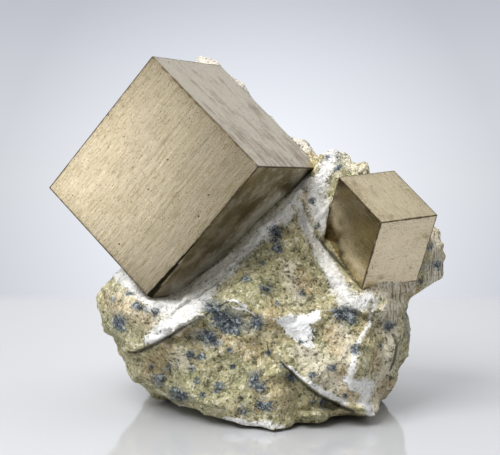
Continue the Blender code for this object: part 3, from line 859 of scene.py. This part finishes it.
def marlMaterial():
    # marl, broken: sugary olive-grey grains with dark specks and fine fissures, a white calcite rind,
    # chalk, buff and rusty patches, brown fibres and blue-grey mineral spots
    made, tree = newMaterial("marlBroken")
    place = addNode(tree, "ShaderNodeTexCoord")["Object"]
    mark = {
        name: addNode(tree, "ShaderNodeAttribute", attribute_name=name)["Fac"]
        for name in (*rockMarks, "cream", "unseen")
    }
    cloud = {
        size: addNode(
            tree, "ShaderNodeTexNoise",
            {"Vector": place, "Scale": 1 / (size * mm), "Detail": detail, "Roughness": 0.6},
        )[0]
        for size, detail in ((0.5, 2), (1.0, 3), (2.4, 4), (5.0, 3), (10.0, 3))
    }
    tone, away = {}, {}
    for size in (0.5, 1.2):
        cells = addNode(tree, "ShaderNodeTexVoronoi", {"Vector": place, "Scale": 1 / (size * mm)})
        tone[size] = addNode(tree, "ShaderNodeSeparateColor", {"Color": cells["Color"]})[0]
        away[size] = cells["Distance"]
    lean, thick, long = 12.0, 0.5, 6.0  # of the fibres: degrees and millimetres
    scale = [1 / (size * mm) for size in (thick, thick, long)]
    turned = addNode(
        tree, "ShaderNodeMapping",
        {"Vector": place, "Rotation": (0.0, math.radians(lean), 0.0), "Scale": scale},
    )[0]
    fibres = addNode(tree, "ShaderNodeTexNoise", {"Vector": turned, "Scale": 1.0, "Detail": 3})[0]
    speckle = weightedSum(tree, (tone[0.5], 0.5), (tone[1.2], 0.25), (cloud[1.0], 0.4), (cloud[2.4], 0.4))
    specks = scatterDots(tree, place, 0.8, 0.2, 0.1)
    dots = scatterDots(tree, place, 1.5, 0.3, 0.2)
    ragged = weightedSum(tree, (cloud[2.4], 0.9), (cloud[0.5], 0.7), (tone[0.5], 0.25), (1.0, -0.92))
    fissure = addNode(
        tree, "ShaderNodeMath", {0: weightedSum(tree, (cloud[5.0], 1.0), (1.0, -0.5))}, operation="ABSOLUTE"
    )[0]
    # each mark's field with the same ragged edge, nothing where the field is 0
    edge = {}
    for name in (*rockMarks, "cream"):
        present = addNode(tree, "ShaderNodeMath", {0: mark[name], 1: 0.02}, operation="GREATER_THAN")[0]
        field = weightedSum(tree, (mark[name], 1.0), (ragged, 1.0))
        edge[name] = addNode(tree, "ShaderNodeMath", {0: field, 1: present}, operation="MULTIPLY")[0]
    grain = paintOver(
        tree, "#B6AF89",
        (cloud[10.0], 0.42, 0.6, 0.75, "#C2AF82"),
        (cloud[5.0], 0.48, 0.62, 0.7, "#999C72"),
        (edge["moss"], 0.2, 0.7, 0.4, "#92956C"),
        (edge["buff"], 0.2, 0.75, 0.85, "#E6DDC6"),
        (edge["rust"], 0.25, 0.75, 0.6, "#B89E72"),
        (edge["slate"], 0.2, 0.65, 0.6, "#84898A"),
        (cloud[2.4], 0.52, 0.66, 0.5, "#D2C8A2"),
        (cloud[2.4], 0.46, 0.34, 0.5, "#7F8064"),
        (edge["cream"], 0.2, 0.7, 0.85, "#DAD2C8"),
        (speckle, 0.86, 1.12, 0.75, "#EFE9D2"),
        (speckle, 0.68, 0.46, 0.85, "#484838"),
        (specks, 0.0, 1.0, 0.8, "#2B2B24"),
        (fissure, 0.014, 0.0, 0.55, "#37352A"),
    )
    fibre = paintOver(
        tree, "#CFC4AB", (fibres, 0.5, 0.6, 0.9, "#F5EFE0"), (fibres, 0.46, 0.36, 0.8, "#6A5B43")
    )
    rind = paintOver(
        tree, "#F2F1EE",
        (speckle, 0.7, 1.0, 0.9, "#FFFFFE"),
        (speckle, 0.6, 0.4, 0.7, "#A9A8A3"),
        (cloud[2.4], 0.55, 0.7, 0.4, "#D8D0BC"),
        (cloud[1.0], 0.54, 0.66, 0.5, "#B9B7B0"),
        (dots, 0.0, 1.0, 0.7, "#55575A"),
        (specks, 0.0, 1.0, 0.6, "#43443F"),
    )
    spot = paintOver(
        tree, "#44515F",
        (speckle, 0.84, 1.04, 0.75, "#AEB6B6"),
        (speckle, 0.76, 0.58, 0.9, "#121A24"),
    )
    spotEdge = weightedSum(tree, (edge["spots"], 1.0), (cloud[1.0], 1.3), (1.0, -0.68))
    farSpots = weightedSum(tree, (cloud[5.0], 1.0), (mark["unseen"], 1.0), (ragged, 0.5))
    farWhite = weightedSum(tree, (cloud[10.0], 1.0), (mark["unseen"], 1.0), (ragged, 0.3))
    colour = paintOver(
        tree, grain,
        (farWhite, 1.58, 1.66, 0.8, rind),
        (farSpots, 1.68, 1.78, 0.85, spot),
        (edge["fibre"], 0.3, 0.6, 0.85, fibre),
        (edge["rind"], 0.12, 0.62, 0.93, rind),
        (edge["chalk"], 0.35, 0.5, 0.97, "#FBFBFA"),
        (spotEdge, 0.3, 0.66, 0.92, spot),
        # painted shadow in the cracks under the ledges and beside the small crystal
        (edge["crackShadows"], 0.3, 0.75, 0.85, "#1F1D16"),
    )
    height = weightedSum(
        tree, (cloud[1.0], 1.0), (cloud[2.4], 1.2), (tone[0.5], 0.4), (away[0.5], -0.5),
        (tone[1.2], 0.5), (away[1.2], -0.6), (specks, -0.6),
    )
    bump = addNode(tree, "ShaderNodeBump", {"Height": height, "Strength": 1.0, "Distance": 0.28 * mm})[0]
    shader = addNode(
        tree, "ShaderNodeBsdfPrincipled",
        {"Base Color": colour, "Roughness": 0.85, "Specular IOR Level": 0.3, "Normal": bump},
    )[0]
    addNode(tree, "ShaderNodeOutputMaterial", {"Surface": shader})
    print("material", made.name)
    return made


studio = {
    "tableHalf": 200.0,
    "fadeFrom": 116.0,  # the table fades out between these distances from its middle
    "fadeTo": 136.0,
    "heights": (-0.25, 0.75),  # upward parts of the view's direction at the ends of the tones
    "tones": (
        (0.05, "#CDD0D6"), (0.09, "#D1D4DA"), (0.12, "#D4D7DC"), (0.15, "#D2D5DB"), (0.185, "#CBCED5"),
        (0.22, "#BFC2CB"), (0.30, "#C8CAD0"), (0.45, "#D6D8DC"), (0.7, "#DCDDDF"),
    ),
    "glow": 0.6,  # further strength in the middle of the glow
    "glowUp": 0.136,  # its place above the horizon, after heights are drawn together by glowFlat
    "glowFlat": 0.8,
    "glowReach": 0.145,
    "depths": (-0.9, 0.3),  # from the viewer's side to behind the object, with the strength at each
    "strengths": (0.33, 1.0),
}
# position, aim, size and power of each soft box; only the card is near, for the front face's highlight
softBoxes = {
    "key": ((-240, -270, 540), (0, 0, 40), (360, 360), 4.4),
    "card": ((-147, -76, 73), (-42, -14, 60), (55, 55), 0.0138),
    "top": ((60, 60, 600), (0, 0, 40), (500, 400), 1.0),
}


def makeTable():
    # a flat square that fades out before its edge, so that every view has a soft horizon
    half = studio["tableHalf"]
    points = np.array(((-half, -half, 0.0), (half, -half, 0.0), (half, half, 0.0), (-half, half, 0.0)))
    made = makeMesh("table", points, np.array(((0, 1, 2, 3),)))
    finish, tree = newMaterial("paleGloss")
    place = addNode(tree, "ShaderNodeTexCoord")["Object"]
    apart = addNode(tree, "ShaderNodeSeparateXYZ", {"Vector": place})
    size = [addNode(tree, "ShaderNodeMath", {0: apart[axis]}, operation="ABSOLUTE")[0] for axis in range(2)]
    reach = addNode(tree, "ShaderNodeMath", {0: size[0], 1: size[1]}, operation="MAXIMUM")[0]
    fade = addNode(
        tree, "ShaderNodeMapRange",
        {"Value": reach, "From Min": studio["fadeFrom"] * mm, "From Max": studio["fadeTo"] * mm},
        interpolation_type="SMOOTHSTEP",
    )[0]
    # white gloss: a pale surface that mirrors what stands on it softly
    shader = addNode(
        tree, "ShaderNodeBsdfPrincipled",
        {"Base Color": "#BCBDC0", "Roughness": 0.08, "Specular IOR Level": 1.0},
    )[0]
    clear = addNode(tree, "ShaderNodeBsdfTransparent")[0]
    mixed = addNode(tree, "ShaderNodeMixShader", {0: fade, 1: shader, 2: clear})[0]
    addNode(tree, "ShaderNodeOutputMaterial", {"Surface": mixed})
    made.data.materials.append(finish)
    print("table")


def makeWorld():
    # a pale backdrop: tone by height, a glow behind the object and less light from the viewer's side
    world = bpy.data.worlds.new("studio")
    world.use_nodes = True
    tree = world.node_tree
    tree.nodes.clear()
    place = addNode(tree, "ShaderNodeTexCoord")["Generated"]
    across, behind, up = addNode(tree, "ShaderNodeSeparateXYZ", {"Vector": place})
    lowest, highest = studio["heights"]
    share = addNode(
        tree, "ShaderNodeMapRange", {"Value": up, "From Min": lowest, "From Max": highest}
    )[0]
    tone = addNode(tree, "ShaderNodeValToRGB", {"Fac": share}, stops=studio["tones"])[0]
    # the glow is round and lies as far above the horizon as below it, so that the table mirrors it
    high = addNode(tree, "ShaderNodeMath", {0: up}, operation="ABSOLUTE")[0]
    offset = weightedSum(tree, (high, studio["glowFlat"]), (1.0, -studio["glowUp"]))
    flat = addNode(tree, "ShaderNodeCombineXYZ", {"X": across, "Y": offset})[0]
    apart = addNode(tree, "ShaderNodeVectorMath", {0: flat}, operation="LENGTH")["Value"]
    glow = addNode(
        tree, "ShaderNodeMapRange", {"Value": apart, "From Min": studio["glowReach"], "From Max": 0.0}
    )[0]
    nearest, farthest = studio["depths"]
    weak, full = studio["strengths"]
    ahead = addNode(
        tree, "ShaderNodeMapRange",
        {"Value": behind, "From Min": nearest, "From Max": farthest, "To Min": weak, "To Max": full},
    )[0]
    strength = weightedSum(tree, (glow, studio["glow"]), (ahead, 1.0))
    sky = addNode(tree, "ShaderNodeBackground", {"Color": tone, "Strength": strength})[0]
    addNode(tree, "ShaderNodeOutputWorld", {"Surface": sky})
    bpy.context.scene.world = world
    print("world")


def makeSoftBoxes():
    for name, (place, target, size, power) in softBoxes.items():
        data = bpy.data.lights.new(name, "AREA")
        data.shape = "RECTANGLE"
        data.size, data.size_y = [value * mm for value in size]
        data.energy = power
        made = bpy.data.objects.new(name, data)
        made.location = [value * mm for value in place]
        made.rotation_euler = (Vector(target) - Vector(place)).to_track_quat("-Z", "Y").to_euler()
        made.visible_camera = False
        bpy.context.collection.objects.link(made)
    print("lights", len(softBoxes))


placeCamera()
pyrite = pyriteMaterial()
makeCrystal(largeCrystal, pyrite)
makeCrystal(smallCrystal, pyrite)
makeRock(marlMaterial())
makeTable()
makeWorld()
makeSoftBoxes()
bpy.context.scene.view_settings.view_transform = "Standard"
